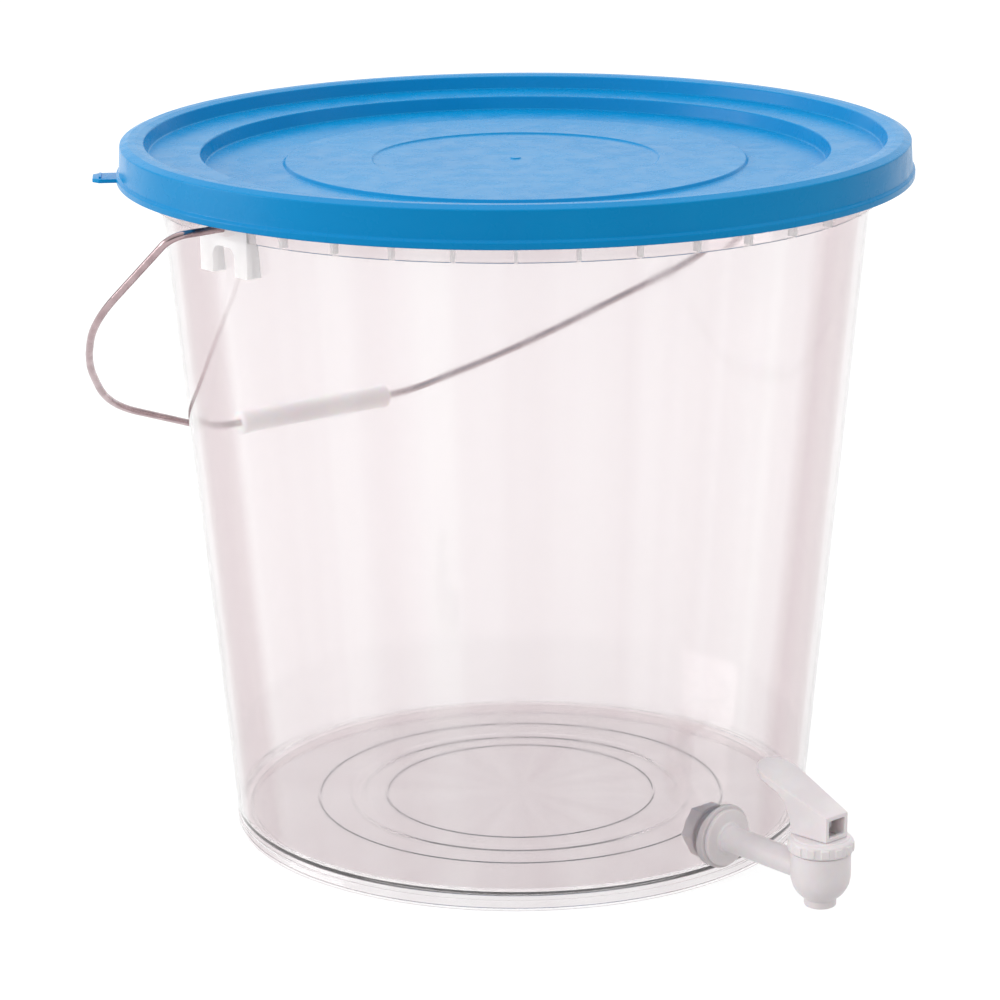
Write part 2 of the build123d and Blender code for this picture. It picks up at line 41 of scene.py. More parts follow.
# ---- bucket, in millimetres -------------------------------------------------------------------
BASE_R = 133.33          # the wall's cone carried down to the ground
TAPER = 0.0918
WALL = 1.8
FLOOR_TOP = 8.0
FLOOR_T = 2.2
FOOT_R = 134.0
FOOT_H = 4.2
FOOT_T = 6.0
SHOULDER_Z = 304.6
RIM_IN_R = 169.6
RIM_TOP_Z = 321.2
RIM_OUT_R = 171.4
RIM_BEAD_R = 175.8
COLLAR_R = 165.3
COLLAR_Z = 296.9
COLLAR_T = 1.6
FLOOR_RINGS = [(94.4, 96.0, 0.8), (73.5, 81.0, 0.6), (62.4, 64.0, 0.8)]   # inner r, outer r, height
RIBS_PER_SIDE = 18
RIB_FIRST_DEG = 12.1
RIB_T = 1.4
PIVOT_Z = 301.5
EAR_OUT_X = 165.4
EAR_PLATE_T = 2.8
EAR_HALF = 16.4
EAR_LEG_IN = 7.6
EAR_LEG_LOW_Z = 281.5
EAR_PLATE_LOW_Z = 293.6
EAR_ARCH_R = 4.5
WIRE_HOLE_R = 1.83
WIRE_HOLE_RUN = (161.4, 169.4)   # the hole in each ear is cut between these distances from the middle
WALL_SINK = 0.9          # how far ears and ribs reach into the wall, half its thickness
WALL_HOLE_R = 7.9
TAP_Z = 23.1
WALL_ROWS = 12           # rows of faces up the wall
TURN_STEPS = 512         # faces round each large turned piece

# ---- lid, in millimetres ----------------------------------------------------------------------
LID_T = 1.6
LIP_R = 180.0
LIP_Z = 305.5
LIP_TOP_Z = 309.0
SKIRT_R = 178.1
SKIRT_TOP_Z = 321.3
CREST_R = 173.0
CREST_Z = 323.3
RIM_STEP_R = 167.4
RIM_STEP_Z = 322.5
LEDGE_Z = 316.6
LEDGE_R = 142.2
PANEL_Z = 310.4
STEP_RUN = 1.8
PLATEAU_R = 104.0
PLATEAU_Z = 311.9
DISC_R = 64.4
DISC_Z = 311.2
NUB_R = 2.2
NUB_H = 0.5
TAB_ANGLE = math.radians(144.0)
TAB_OUT = 10.5
TAB_W = 17.0
TAB_T = 1.8
TAB_CLIP = 3.0

# ---- grip, in millimetres ---------------------------------------------------------------------
GRIP_R = 5.8
GRIP_BORE_R = 1.83
GRIP_L = 96.6
GRIP_RING = 5.0

# ---- glow: a painted glow on ears and grip for light scattered inside them, and the light that the ground throws up ---
EAR_PAINTED_GLOW = 0.16
GRIP_PAINTED_GLOW = 0.32
FLOOR_GLOW = 0.86
FLOOR_GLOW_DIFFUSE = 0.36        # what diffuse rays get, so that undersides keep some shade
FLOOR_HALF = 12.0                # metres

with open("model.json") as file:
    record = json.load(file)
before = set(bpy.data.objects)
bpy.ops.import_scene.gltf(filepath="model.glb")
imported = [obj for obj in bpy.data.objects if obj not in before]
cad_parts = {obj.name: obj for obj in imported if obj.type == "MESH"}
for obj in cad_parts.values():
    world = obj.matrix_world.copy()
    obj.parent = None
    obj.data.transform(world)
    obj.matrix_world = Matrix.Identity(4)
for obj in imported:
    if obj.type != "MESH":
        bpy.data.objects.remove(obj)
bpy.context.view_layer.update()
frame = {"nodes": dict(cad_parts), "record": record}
nodes = frame["nodes"]


# ---- mesh tools -------------------------------------------------------------------------------
def wall_r(z):
    """Outer radius of the tapered wall at a height."""
    return BASE_R + TAPER * z


def rounded(outline, radius, steps=5):
    """A closed (radius, height) outline with its corners rounded; points on the axis stay as they are."""
    points = [Vector(point) for point in outline]
    result = []
    for number, corner in enumerate(points):
        before = points[number - 1]
        after = points[(number + 1) % len(points)]
        into, out = corner - before, after - corner
        if corner.x < 0.01 or into.length < 0.01 or out.length < 0.01 or into.angle(out) < math.radians(7):
            result.append(corner)
            continue
        reach = min(radius * math.tan(into.angle(out) / 2), 0.4 * into.length, 0.4 * out.length)
        start, end = corner - reach * into.normalized(), corner + reach * out.normalized()
        result.append(start - 0.25 * reach * into.normalized())
        for step in range(steps + 1):
            share = step / steps
            result.append((1 - share) ** 2 * start + 2 * share * (1 - share) * corner + share ** 2 * end)
        result.append(end + 0.25 * reach * out.normalized())
    return result


def lathe(outline, steps=TURN_STEPS):
    """A bmesh of a closed (radius, height) outline in millimetres turned round Z."""
    mesh = bmesh.new()
    rings = []
    for radius, height in outline:
        if radius < 0.01:
            rings.append([mesh.verts.new((0, 0, height * MM))])
            continue
        angles = [2 * math.pi * step / steps for step in range(steps)]
        rings.append([mesh.verts.new((radius * MM * math.cos(a), radius * MM * math.sin(a), height * MM))
                      for a in angles])
    for lower, upper in zip(rings, rings[1:] + rings[:1]):
        if len(lower) == 1 and len(upper) == 1:
            continue
        for step in range(steps):
            after = (step + 1) % steps
            corners = ([lower[0]] if len(lower) == 1 else [lower[step], lower[after]])
            corners += ([upper[0]] if len(upper) == 1 else [upper[after], upper[step]])
            mesh.faces.new(corners)
    bmesh.ops.recalc_face_normals(mesh, faces=mesh.faces)
    return mesh


def prism(outline, low, high, place):
    """A bmesh of a flat outline drawn in millimetres, between two heights, moved by a matrix."""
    mesh = bmesh.new()
    bottom = [mesh.verts.new(place @ Vector((x * MM, y * MM, low * MM))) for x, y in outline]
    top = [mesh.verts.new(place @ Vector((x * MM, y * MM, high * MM))) for x, y in outline]
    mesh.faces.new(bottom)
    mesh.faces.new(top)
    count = len(outline)
    for number in range(count):
        after = (number + 1) % count
        mesh.faces.new((bottom[number], bottom[after], top[after], top[number]))
    bmesh.ops.recalc_face_normals(mesh, faces=mesh.faces)
    return mesh


def soften_edges(mesh, width, steps=2):
    """Bevel the sharp edges of a small piece."""
    sharp = [edge for edge in mesh.edges if edge.calc_face_angle(0) > math.radians(40)]
    bmesh.ops.bevel(mesh, geom=sharp, offset=width * MM, segments=steps, profile=0.6, affect="EDGES")
    return mesh


def join(meshes):
    """One bmesh holding several."""
    whole = bmesh.new()
    for part in meshes:
        data = bpy.data.meshes.new("part")
        part.to_mesh(data)
        part.free()
        whole.from_mesh(data)
        bpy.data.meshes.remove(data)
    return whole


def as_object(name, mesh):
    """Turn a bmesh into a linked object."""
    data = bpy.data.meshes.new(name)
    mesh.to_mesh(data)
    mesh.free()
    piece = bpy.data.objects.new(name, data)
    bpy.context.scene.collection.objects.link(piece)
    return piece


def settle(piece):
    """Apply an object's modifiers to its mesh."""
    bpy.context.view_layer.update()
    graph = bpy.context.evaluated_depsgraph_get()
    data = bpy.data.meshes.new_from_object(piece.evaluated_get(graph))
    piece.modifiers.clear()
    old = piece.data
    piece.data = data
    bpy.data.meshes.remove(old)


def combine(piece, other, operation, overlapping=False):
    """Add or cut another object, which is used up."""
    modifier = piece.modifiers.new("combine", "BOOLEAN")
    modifier.operation = operation
    modifier.object = other
    modifier.solver = "EXACT"
    modifier.use_self = overlapping
    settle(piece)
    bpy.data.objects.remove(other)


def shade(piece, angle=32):
    """Smooth shading, kept sharp where the surface turns by more than an angle."""
    piece.data.polygons.foreach_set("use_smooth", [True] * len(piece.data.polygons))
    piece.data.set_sharp_from_angle(angle=math.radians(angle))


def remesh_of(node, voxel, smoothing, keep):
    """A copy of a CAD node with the soft edges of a moulding: voxel remesh, smoothing, fewer faces."""
    piece = bpy.data.objects.new(node + "_moulded", nodes[node].data.copy())
    bpy.context.scene.collection.objects.link(piece)
    voxels = piece.modifiers.new("voxels", "REMESH")
    voxels.mode = "VOXEL"
    voxels.voxel_size = voxel * MM
    smooth = piece.modifiers.new("smooth", "SMOOTH")
    smooth.factor = 0.5
    smooth.iterations = smoothing
    fewer = piece.modifiers.new("fewer", "DECIMATE")
    fewer.ratio = keep
    settle(piece)
    shade(piece, 60)
    return piece


def place_piece(piece, body, slot, material, *replaced):
    """Give a new piece its body, its material and the CAD nodes that it stands for. The slot is not used.
    """
    piece.data.materials.clear()
    piece.data.materials.append(material)
    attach(piece, body)
    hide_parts(*replaced)


def dress(node, material):
    """Give a CAD node that stays a better material."""
    mesh = nodes[node].data
    mesh.materials.clear()
    mesh.materials.append(material)


# ---- node tools -------------------------------------------------------------------------------
def new_material(name, roughness, ior=1.49):
    material = bpy.data.materials.new(name)
    material.use_nodes = True
    shader = material.node_tree.nodes["Principled BSDF"]
    shader.inputs["Roughness"].default_value = roughness
    shader.inputs["IOR"].default_value = ior
    return material, shader


def add_node(material, kind, **settings):
    node = material.node_tree.nodes.new(kind)
    for key, value in settings.items():
        setattr(node, key, value)
    return node


def wire_up(material, *pairs):
    for output, into in pairs:
        material.node_tree.links.new(output, into)


def stretched_noise(material, scale, stretch, detail=3.0):
    """Noise in the piece's own space, stretched along each axis."""
    place = add_node(material, "ShaderNodeTexCoord")
    mapping = add_node(material, "ShaderNodeMapping")
    mapping.inputs["Scale"].default_value = stretch
    noise = add_node(material, "ShaderNodeTexNoise")
    noise.inputs["Scale"].default_value = scale
    noise.inputs["Detail"].default_value = detail
    wire_up(material, (place.outputs["Object"], mapping.inputs["Vector"]),
            (mapping.outputs["Vector"], noise.inputs["Vector"]))
    return noise.outputs["Fac"]


def ramp(material, value, stops):
    """A colour ramp: stops are (position, colour)."""
    node = add_node(material, "ShaderNodeValToRGB")
    elements = node.color_ramp.elements
    while len(elements) < len(stops):
        elements.new(0.5)
    for element, (position, color) in zip(elements, stops):
        element.position = position
        element.color = (*color, 1)
    wire_up(material, (value, node.inputs["Fac"]))
    return node.outputs["Color"]


def spread(material, value, low, high):
    """Map noise, which stays near 0.5, to a range."""
    node = add_node(material, "ShaderNodeMapRange")
    node.inputs["From Min"].default_value = 0.3
    node.inputs["From Max"].default_value = 0.7
    node.inputs["To Min"].default_value = low
    node.inputs["To Max"].default_value = high
    wire_up(material, (value, node.inputs["Value"]))
    return node.outputs["Result"]


def multiply(material, first, second):
    node = add_node(material, "ShaderNodeMix", data_type="RGBA", blend_type="MULTIPLY")
    node.inputs["Factor"].default_value = 1.0
    wire_up(material, (first, node.inputs["A"]), (second, node.inputs["B"]))
    return node.outputs["Result"]


def bump(material, shader, height, strength, distance_mm):
    node = add_node(material, "ShaderNodeBump")
    node.inputs["Strength"].default_value = strength
    node.inputs["Distance"].default_value = distance_mm * MM
    wire_up(material, (height, node.inputs["Height"]),
            (node.outputs["Normal"], shader.inputs["Normal"]))


# ---- materials --------------------------------------------------------------------------------
def bucket_plastic():
    """Clear plastic with a faint warm tint and faint upright streaks, partly flow lines and partly painted
    light and shade: bands of reflected surroundings.

    The edge ramp darkens a band of grazing angles: painted shade, partly light lost in the wall and partly
    painted reflection of dark surroundings.
    """
    material, shader = new_material("bucket_plastic_look", 0.04)
    shader.inputs["Transmission Weight"].default_value = 0.94
    place = add_node(material, "ShaderNodeTexCoord")
    flat = add_node(material, "ShaderNodeVectorMath", operation="MULTIPLY")
    flat.inputs[1].default_value = (1, 1, 0)
    round_the_wall = add_node(material, "ShaderNodeVectorMath", operation="NORMALIZE")
    streak = add_node(material, "ShaderNodeTexNoise")
    streak.inputs["Scale"].default_value = 3.2
    streak.inputs["Detail"].default_value = 4.0
    wire_up(material, (place.outputs["Object"], flat.inputs[0]),
            (flat.outputs[0], round_the_wall.inputs[0]),
            (round_the_wall.outputs[0], streak.inputs["Vector"]))
    # painted light and shade: upright streaks of lighter and darker tint round the wall stand in for bands
    # of reflected surroundings, besides flow lines
    streaks_and_painted_bands = ramp(material, streak.outputs["Fac"], [
        (0.34, (0.925, 0.88, 0.888)), (0.5, (0.953, 0.918, 0.924)), (0.66, (0.985, 0.963, 0.963))])
    facing = add_node(material, "ShaderNodeLayerWeight")
    facing.inputs["Blend"].default_value = 0.5
    # painted shade: a darker band at grazing view angles, light again at the very edge
    edge = ramp(material, facing.outputs["Facing"], [
        (0.0, (1, 1, 1)), (0.49, (0.99, 0.985, 0.985)), (0.565, (0.82, 0.76, 0.77)),
        (0.755, (0.74, 0.66, 0.67)), (0.79, (0.97, 0.96, 0.96)), (1.0, (0.99, 0.985, 0.985))])
    wire_up(material, (multiply(material, streaks_and_painted_bands, edge), shader.inputs["Base Color"]))
    haze = stretched_noise(material, 60, (1, 1, 0.25))
    wire_up(material, (spread(material, haze, 0.02, 0.07), shader.inputs["Roughness"]))
    bump(material, shader, stretched_noise(material, 9, (1, 1, 0.5), 1.0), 0.05, 0.6)
    return material


def cloudy_plastic():
    """The bucket's own plastic where it is thick and moulded dull: ears and ribs, with a painted glow for
    light scattered inside them in the lid's shade.
    """
    material, shader = new_material("bucket_plastic_cloudy", 0.34)
    tone = stretched_noise(material, 60, (1, 1, 0.6), 4.0)
    wire_up(material, (ramp(material, tone, [(0.35, (0.95, 0.935, 0.93)), (0.65, (0.98, 0.97, 0.965))]),
                       shader.inputs["Base Color"]))
    wire_up(material, (spread(material, stretched_noise(material, 140, (1, 1, 1)), 0.28, 0.42),
                       shader.inputs["Roughness"]))
    shader.inputs["Transmission Weight"].default_value = 0.5
    # painted glow: emission lightens the ears and ribs in the shade under the lid
    shader.inputs["Emission Color"].default_value = (1, 0.98, 0.975, 1)
    shader.inputs["Emission Strength"].default_value = EAR_PAINTED_GLOW
    shader.inputs["Specular IOR Level"].default_value = 0.3
    bump(material, shader, stretched_noise(material, 500, (1, 1, 1), 2.0), 0.08, 0.05)
    return material


def lid_plastic():
    """Blue moulded plastic with a slightly uneven tone and gloss and a very fine grain."""
    material, shader = new_material("lid_plastic_look", 0.26)
    tone = stretched_noise(material, 14, (1, 1, 1), 4.0)
    wire_up(material, (ramp(material, tone, [(0.35, (0.0005, 0.235, 0.54)), (0.65, (0.001, 0.255, 0.57))]),
                       shader.inputs["Base Color"]))
    wire_up(material, (spread(material, stretched_noise(material, 90, (1, 1, 1)), 0.2, 0.32),
                       shader.inputs["Roughness"]))
    bump(material, shader, stretched_noise(material, 900, (1, 1, 1), 2.0), 0.02, 0.03)
    shader.inputs["Specular IOR Level"].default_value = 0.12
    return material


def white_plastic(name, light, dark, roughness, grain=700.0):
    """Moulded white plastic with a soft sheen, slight tone changes and a fine grain."""
    material, shader = new_material(name, roughness)
    tone = stretched_noise(material, 45, (1, 1, 1), 4.0)
    wire_up(material, (ramp(material, tone, [(0.35, dark), (0.65, light)]), shader.inputs["Base Color"]))
    wire_up(material, (spread(material, stretched_noise(material, 160, (1, 1, 1)), roughness - 0.06,
                              roughness + 0.08), shader.inputs["Roughness"]))
    shader.inputs["Subsurface Weight"].default_value = 0.25
    shader.inputs["Subsurface Scale"].default_value = 0.002
    bump(material, shader, stretched_noise(material, grain, (1, 1, 1), 2.0), 0.12, 0.04)
    return material


def steel(name, light, dark, roughness, lines=(1, 1, 1)):
    """Bare or zinc-plated wire: drawing lines, small dull patches."""
    material, shader = new_material(name, roughness)
    shader.inputs["Metallic"].default_value = 1.0
    patches = stretched_noise(material, 120, lines, 5.0)
    wire_up(material, (ramp(material, patches, [(0.38, dark), (0.62, light)]), shader.inputs["Base Color"]))
    wire_up(material, (spread(material, patches, roughness + 0.12, roughness - 0.06),
                       shader.inputs["Roughness"]))
    bump(material, shader, stretched_noise(material, 1500, lines, 2.0), 0.15, 0.02)
    return material


# ---- bucket -----------------------------------------------------------------------------------
def bucket_outline():
    """The turned outline of wall, floor, foot, rim and collar, as (radius, height)."""
    floor_low = FLOOR_TOP - FLOOR_T
    flare_z = SHOULDER_Z + 8.0
    inner_low = wall_r(FLOOR_TOP) - WALL
    outside = [
        (0, floor_low), (FOOT_R - FOOT_T - 1.0, floor_low), (FOOT_R - FOOT_T, 0.0), (FOOT_R, 0.0),
        (FOOT_R, FOOT_H), (wall_r(FOOT_H) - 0.35, FOOT_H + 0.5), (wall_r(FOOT_H + 1.2), FOOT_H + 1.2)]
    heights = [FOOT_H + 1.2 + (SHOULDER_Z - FOOT_H - 1.2) * row / WALL_ROWS
               for row in range(1, WALL_ROWS + 1)]
    outside += [(wall_r(z), z) for z in heights]
    collar = [
        (COLLAR_R - COLLAR_T + 0.5, SHOULDER_Z), (COLLAR_R - COLLAR_T, COLLAR_Z), (COLLAR_R, COLLAR_Z),
        (COLLAR_R + 0.9, SHOULDER_Z + 0.6), (RIM_OUT_R, flare_z - 1.0), (RIM_OUT_R, RIM_TOP_Z - 5.0),
        (RIM_BEAD_R, RIM_TOP_Z - 3.2), (RIM_BEAD_R, RIM_TOP_Z - 2.0), (RIM_OUT_R + 0.6, RIM_TOP_Z),
        (RIM_IN_R, RIM_TOP_Z), (RIM_IN_R, flare_z)]
    inside = [(wall_r(z) - WALL, z) for z in reversed(heights)]
    inside += [(inner_low + 0.2, FLOOR_TOP + 2.5), (inner_low - 0.8, FLOOR_TOP + 0.7),
               (inner_low - 2.6, FLOOR_TOP)]
    for inner, outer, height in FLOOR_RINGS:
        run = min(1.6, 0.42 * (outer - inner))
        inside += [(outer, FLOOR_TOP), (outer - run, FLOOR_TOP + 0.35 * height),
                   (inner + run, FLOOR_TOP + 0.35 * height), (inner, FLOOR_TOP)]
    return outside + collar + inside + [(0, FLOOR_TOP)]


def collar_rib(angle):
    """One upright rib between the collar and the wall."""
    inner, outer = wall_r(COLLAR_Z) - WALL_SINK, COLLAR_R - 0.5
    half = RIB_T / 2
    outline = [(inner, -half), (outer, -half), (outer, half), (inner, half)]
    turned = Matrix.Rotation(angle, 4, "Z")
    return prism(outline, COLLAR_Z + 0.6, SHOULDER_Z + 0.5, turned)


def ear_plate(side):
    """The arched plate that the wire passes through, with its lower corners rounded."""
    arch = []
    for step in range(7):
        turn = math.pi / 2 * step / 6
        arch.append((EAR_LEG_IN - EAR_ARCH_R + EAR_ARCH_R * math.cos(turn),
                     EAR_PLATE_LOW_Z - EAR_ARCH_R + EAR_ARCH_R * math.sin(turn)))
    right = [(EAR_HALF, SHOULDER_Z + 0.6), (EAR_HALF, EAR_LEG_LOW_Z), (EAR_LEG_IN, EAR_LEG_LOW_Z)] + arch
    outline = right + [(-y, z) for y, z in reversed(right)]
    upright = Matrix(((0, 0, 1, 0), (1, 0, 0, 0), (0, 1, 0, 0), (0, 0, 0, 1)))
    mesh = prism(outline, EAR_OUT_X - EAR_PLATE_T, EAR_OUT_X, upright)
    soften_edges(mesh, 0.35)
    mesh.transform(Matrix.Rotation(0 if side > 0 else math.pi, 4, "Z"))
    return mesh


def ear_leg(side, left):
    """A leg of the ear, from inside the plate back into the wall's own curve."""
    mesh = bmesh.new()
    columns, rows, inset = 4, 5, 0.1
    outer, inner = [], []
    for row in range(rows + 1):
        z = EAR_LEG_LOW_Z + inset + (SHOULDER_Z + 0.4 - EAR_LEG_LOW_Z - inset) * row / rows
        outer.append([])
        inner.append([])
        for column in range(columns + 1):
            y = EAR_LEG_IN + inset + (EAR_HALF - EAR_LEG_IN - 2 * inset) * column / columns
            x = math.sqrt((wall_r(z) - WALL_SINK) ** 2 - y ** 2)
            outer[-1].append(mesh.verts.new(((EAR_OUT_X - 1.0) * MM, left * y * MM, z * MM)))
            inner[-1].append(mesh.verts.new((x * MM, left * y * MM, z * MM)))
    for row in range(rows):
        for column in range(columns):
            for grid in (outer, inner):
                mesh.faces.new((grid[row][column], grid[row][column + 1], grid[row + 1][column + 1],
                                grid[row + 1][column]))
        for column in (0, columns):
            mesh.faces.new((outer[row][column], inner[row][column], inner[row + 1][column],
                            outer[row + 1][column]))
    for column in range(columns):
        for row in (0, rows):
            mesh.faces.new((outer[row][column], inner[row][column], inner[row][column + 1],
                            outer[row][column + 1]))
    bmesh.ops.recalc_face_normals(mesh, faces=mesh.faces)
    mesh.transform(Matrix.Rotation(0 if side > 0 else math.pi, 4, "Z"))
    return mesh


def round_bar(start, end, radius, steps=48):
    """A round bar between two points, in millimetres, for cutting holes."""
    run = Vector(end) - Vector(start)
    turn = run.to_track_quat("Z", "Y").to_matrix().to_4x4()
    angles = [2 * math.pi * step / steps for step in range(steps)]
    outline = [(radius * math.cos(angle), radius * math.sin(angle)) for angle in angles]
    return prism(outline, 0, run.length, Matrix.Translation(Vector(start) * MM) @ turn)


def make_bucket():
    shell = as_object("bucket_clear", lathe(rounded(bucket_outline(), 0.8)))
    step = (180.0 - 2 * RIB_FIRST_DEG) / (RIBS_PER_SIDE - 1)
    parts = [collar_rib(math.radians(half + RIB_FIRST_DEG + number * step))
             for half in (0.0, 180.0) for number in range(RIBS_PER_SIDE)]
    for side in (-1, 1):
        parts.append(ear_plate(side))
        parts += [ear_leg(side, left) for left in (-1, 1)]
    trim = as_object("ears_and_ribs", join(parts))
    near, far = WIRE_HOLE_RUN
    holes = [round_bar((side * near, 0, PIVOT_Z), (side * far, 0, PIVOT_Z), WIRE_HOLE_R)
             for side in (-1, 1)]
    combine(trim, as_object("wire_holes", join(holes)), "DIFFERENCE", overlapping=True)
    wall_y = -wall_r(TAP_Z)
    hole = round_bar((0, wall_y - 4, TAP_Z), (0, wall_y + 6, TAP_Z), WALL_HOLE_R)
    combine(shell, as_object("tap_hole", hole), "DIFFERENCE")
    shade(shell)
    shade(trim)
    place_piece(shell, "bucket", "bucket_plastic", bucket_plastic(), "bucket_shell")
    place_piece(trim, "bucket", "bucket_plastic", cloudy_plastic(), "bucket_shell")


# ---- lid --------------------------------------------------------------------------------------
def lid_outline():
    upper = [
        (0, DISC_Z + NUB_H), (NUB_R, DISC_Z + NUB_H), (NUB_R + 0.4, DISC_Z),
        (DISC_R, DISC_Z), (DISC_R + 0.7, PLATEAU_Z), (PLATEAU_R, PLATEAU_Z), (PLATEAU_R + 1.2, PANEL_Z),
        (LEDGE_R - STEP_RUN, PANEL_Z), (LEDGE_R, LEDGE_Z), (RIM_STEP_R - STEP_RUN, LEDGE_Z),
        (RIM_STEP_R, RIM_STEP_Z), (CREST_R - 2.0, CREST_Z - 0.1), (CREST_R + 1.5, CREST_Z - 0.05),
        (SKIRT_R, SKIRT_TOP_Z + 0.4), (SKIRT_R + 0.7, LIP_TOP_Z + 0.4),
        (LIP_R, LIP_TOP_Z - 0.6), (LIP_R, LIP_Z)]
    lower = [
        (LIP_R - LID_T, LIP_Z), (LIP_R - LID_T, LIP_TOP_Z - 1.5), (SKIRT_R + 0.5 - LID_T, LIP_TOP_Z + 0.3),
        (SKIRT_R - LID_T, SKIRT_TOP_Z - 1.6), (CREST_R + 1.0, CREST_Z - LID_T),
        (CREST_R - 2.4, CREST_Z - LID_T), (RIM_STEP_R + LID_T - 0.4, RIM_STEP_Z - LID_T - 0.4),
        (RIM_STEP_R - STEP_RUN + LID_T, LEDGE_Z - LID_T),
        (LEDGE_R + LID_T, LEDGE_Z - LID_T), (LEDGE_R - STEP_RUN + LID_T, PANEL_Z - LID_T),
        (PLATEAU_R - 0.2, PANEL_Z - LID_T), (PLATEAU_R - 1.2, PLATEAU_Z - LID_T),
        (DISC_R + 1.2, PLATEAU_Z - LID_T), (DISC_R + 0.4, DISC_Z - LID_T), (0, DISC_Z - LID_T)]
    return upper + lower


def pull_tab():
    root, tip, half = LIP_R - 1.2, LIP_R + TAB_OUT, TAB_W / 2
    outline = [(root, -half), (tip - TAB_CLIP, -half), (tip, -half + TAB_CLIP), (tip, half - TAB_CLIP),
               (tip - TAB_CLIP, half), (root, half)]
    bead = [(tip - 4.0, 3.0 - half), (tip - 2.8, 3.0 - half),
            (tip - 2.8, half - 3.0), (tip - 4.0, half - 3.0)]
    turned = Matrix.Rotation(TAB_ANGLE, 4, "Z")
    tongue = soften_edges(prism(outline, LIP_Z + 0.2, LIP_Z + 0.2 + TAB_T, turned), 0.4, 3)
    ridge = soften_edges(prism(bead, LIP_Z + TAB_T - 0.4, LIP_Z + 0.9 + TAB_T, turned), 0.25)
    return join([tongue, ridge])


def make_lid():
    lid = as_object("lid_moulded", lathe(rounded(lid_outline(), 0.9)))
    combine(lid, as_object("tab", pull_tab()), "UNION", overlapping=True)
    shade(lid)
    place_piece(lid, "lid", "lid_plastic", lid_plastic(), "lid")


# ---- bail and grip ----------------------------------------------------------------------------
def make_grip():
    """A tube with slightly raised, well rounded ends, turned along the wire's straight middle."""
    half, waist = GRIP_L / 2, GRIP_R - 0.3
    outline = [
        (GRIP_BORE_R, -half), (GRIP_R, -half), (GRIP_R, -half + GRIP_RING),
        (waist, -half + GRIP_RING + 3.0), (waist, half - GRIP_RING - 3.0),
        (GRIP_R, half - GRIP_RING), (GRIP_R, half), (GRIP_BORE_R, half)]
    mesh = lathe(rounded(outline, 1.6, 8), 96)
    joint = next(joint for joint in frame["record"]["behaviour"]["joints"]
                 if joint["name"] == "grip_spin")
    turn = Vector(joint["axis"]).to_track_quat("Z", "Y").to_matrix().to_4x4()
    mesh.transform(Matrix.Translation(Vector(joint["pos_m"])) @ turn)
    grip = as_object("grip_tube", mesh)
    shade(grip)
    look = white_plastic("grip_plastic_look", (0.97, 0.965, 0.96), (0.94, 0.935, 0.93), 0.38)
    shader = look.node_tree.nodes["Principled BSDF"]
    shader.inputs["Subsurface Weight"].default_value = 0.9
    shader.inputs["Subsurface Scale"].default_value = 0.012
    # painted glow: emission lightens the grip, which the clear bucket in front leaves in shade
    shader.inputs["Emission Color"].default_value = (1, 0.98, 0.97, 1)
    shader.inputs["Emission Strength"].default_value = GRIP_PAINTED_GLOW
    place_piece(grip, "grip", "grip_plastic", look, "bail_grip")


def make_wire():
    wire = remesh_of("bail_wire", 0.35, 8, 0.8)
    # painted reflection: the wire's dark pink-brown tint stands in for reflected dark, warm surroundings
    place_piece(wire, "bail", "bail_steel",
                steel("bail_steel_painted_reflection_look", (0.46, 0.35, 0.36), (0.38, 0.28, 0.29), 0.14), "bail_wire")


# ---- tap --------------------------------------------------------------------------------------
def make_tap():
    white = white_plastic("tap_plastic_look", (0.86, 0.81, 0.82), (0.79, 0.73, 0.745), 0.36)
    grey = white_plastic("nut_plastic_look", (0.90, 0.86, 0.87), (0.84, 0.80, 0.81), 0.42)
    rubber = white_plastic("gasket_rubber_look", (0.78, 0.73, 0.74), (0.70, 0.65, 0.66), 0.6, 1200.0)
    place_piece(remesh_of("tap_body", 0.35, 2, 0.3), "bucket", "tap_plastic", white, "tap_body")
    place_piece(remesh_of("tap_bonnet", 0.25, 2, 0.3), "bucket", "tap_plastic", white, "tap_bonnet")
    place_piece(remesh_of("tap_lever", 0.3, 3, 0.3), "lever", "tap_plastic", white, "tap_lever")
    place_piece(remesh_of("tap_nut", 0.3, 2, 0.3), "bucket", "nut_plastic", grey, "tap_nut")
    place_piece(remesh_of("tap_gasket_outer", 0.3, 3, 0.3), "bucket", "gasket_rubber", rubber,
                "tap_gasket_outer")
    place_piece(remesh_of("tap_gasket_inner", 0.3, 3, 0.3), "bucket", "gasket_rubber", rubber,
                "tap_gasket_inner")
    dress("tap_stem",
          white_plastic("stem_plastic_look", (0.84, 0.81, 0.81), (0.76, 0.73, 0.735), 0.38))
    dress("tap_seat_cup",
          white_plastic("seat_rubber_look", (0.78, 0.78, 0.76), (0.7, 0.7, 0.68), 0.55, 1200.0))
    dress("tap_spring", steel("spring_steel_look", (0.62, 0.61, 0.60), (0.5, 0.49, 0.48), 0.25))
    dress("lever_pin", steel("pin_steel_look", (0.64, 0.63, 0.62), (0.52, 0.51, 0.5), 0.22, (0.2, 1, 1)))


# ---- stage ------------------------------------------------------------------------------------
def make_camera():
    data = bpy.data.cameras.new("camera")
    data.lens = LENS_MM
    data.sensor_width = SENSOR_MM
    data.shift_x = CAMERA_SHIFT_X
    data.clip_end = 50.0
    camera = bpy.data.objects.new("camera", data)
    place = Vector((CAMERA_DISTANCE * math.sin(CAMERA_AZIMUTH),
                    -CAMERA_DISTANCE * math.cos(CAMERA_AZIMUTH), CAMERA_HEIGHT))
    turn = (Matrix.Rotation(CAMERA_AZIMUTH, 4, "Z") @ Matrix.Rotation(math.pi / 2 - CAMERA_PITCH, 4, "X")
            @ Matrix.Rotation(CAMERA_ROLL, 4, "Z"))
    camera.matrix_world = Matrix.Translation(place) @ turn
    bpy.context.scene.collection.objects.link(camera)
    bpy.context.scene.camera = camera


